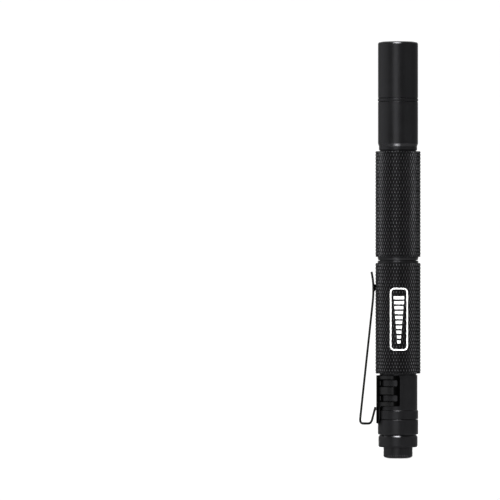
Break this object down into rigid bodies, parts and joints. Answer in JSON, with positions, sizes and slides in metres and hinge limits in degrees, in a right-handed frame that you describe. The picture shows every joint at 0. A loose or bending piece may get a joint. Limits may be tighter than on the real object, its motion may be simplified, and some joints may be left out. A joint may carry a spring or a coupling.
{
  "type": "pen ophthalmoscope",
  "caption": "Pen-shaped pocket ophthalmoscope: knurled battery barrels, tail push button, spring pocket clip and a capped optical nose with mirror, window and sight hole.",
  "frame": {"origin": "centre of the push button's flat end face, at the tail end of the pen", "axes": "+Z along the pen from the button to the cap; -X towards the pocket clip; -Y the way the instrument looks out, so +Y faces the examiner's eye"},
  "size_m": [0.0201, 0.0148, 0.1363],
  "materials": {
    "black_anodised": "satin",
    "black_spring_steel": "satin",
    "spring_wire": "polished",
    "brass_parts": "satin",
    "bright_reflector": "polished",
    "black_rubber": "matte",
    "white_nylon": "matte",
    "circuit_board": "satin",
    "led_board_white": "satin",
    "cell_sleeve": "gloss",
    "led_phosphor": "gloss",
    "optical_glass": "gloss",
    "mirror_silver": "polished"
  },
  "bodies": {
    "rear_half": {"rear_barrel": "black_anodised", "tail_cap": "black_anodised", "switch_bezel": "black_anodised", "switch_housing": "white_nylon", "switch_contact": "brass_parts", "switch_retainer": "brass_parts", "return_spring": "spring_wire", "battery_spring": "spring_wire", "clip_collar": "black_spring_steel", "mid_oring": "black_rubber", "tail_oring": "black_rubber"},
    "push_button": {"button_cap": "black_anodised", "switch_plunger": "white_nylon"},
    "clip_arm": {"clip_leaf": "black_spring_steel"},
    "battery_stack": {"battery_rear": "cell_sleeve", "battery_front": "cell_sleeve"},
    "front_half": {"front_barrel": "black_anodised", "head_oring": "black_rubber", "head_tube": "black_anodised", "driver_contact": "brass_parts", "driver_board": "circuit_board", "led_holder": "brass_parts", "led_board": "led_board_white", "led_emitter": "led_phosphor", "reflector": "bright_reflector", "condenser_lens": "optical_glass", "nose_tube": "black_anodised", "aperture_disc": "black_anodised", "projection_lens": "optical_glass", "lens_ring": "brass_parts", "mirror_carrier": "black_anodised", "mirror": "mirror_silver", "carrier_set_screw": "spring_wire", "front_window": "optical_glass", "sight_ring": "black_rubber", "cap_oring": "black_rubber"},
    "cap": {"cap": "black_anodised"}
  },
  "joints": [
    {"name": "button_press", "type": "slide", "parent": "rear_half", "child": "push_button", "axis": [0, 0, 1], "range_m": [0, 0.0015], "stiffness_N_per_m": 1500, "springref_m": -0.002, "deforming": ["return_spring"]},
    {"name": "clip_flex", "type": "hinge", "parent": "rear_half", "child": "clip_arm", "pos_m": [-0.0104, 0, 0.01135], "axis": [0, -1, 0], "range_deg": [0, 5], "stiffness_Nm_per_rad": 2.4, "springref_deg": -1.72},
    {"name": "barrel_advance", "type": "slide", "parent": "rear_half", "child": "battery_stack", "axis": [0, 0, 1], "range_m": [0, 0.004], "deforming": ["battery_spring"]},
    {"name": "barrel_turn", "type": "hinge", "parent": "battery_stack", "child": "front_half", "pos_m": [0, 0, 0.0647], "axis": [0, 0, 1], "range_deg": [0, 1440]},
    {"name": "cap_pull", "type": "slide", "parent": "front_half", "child": "cap", "axis": [0, 0, 1], "range_m": [0, 0.02]}
  ],
  "couplings": [
    {"joint": "barrel_turn", "follows": "barrel_advance", "rad_per_m": 6283.2}
  ]
}
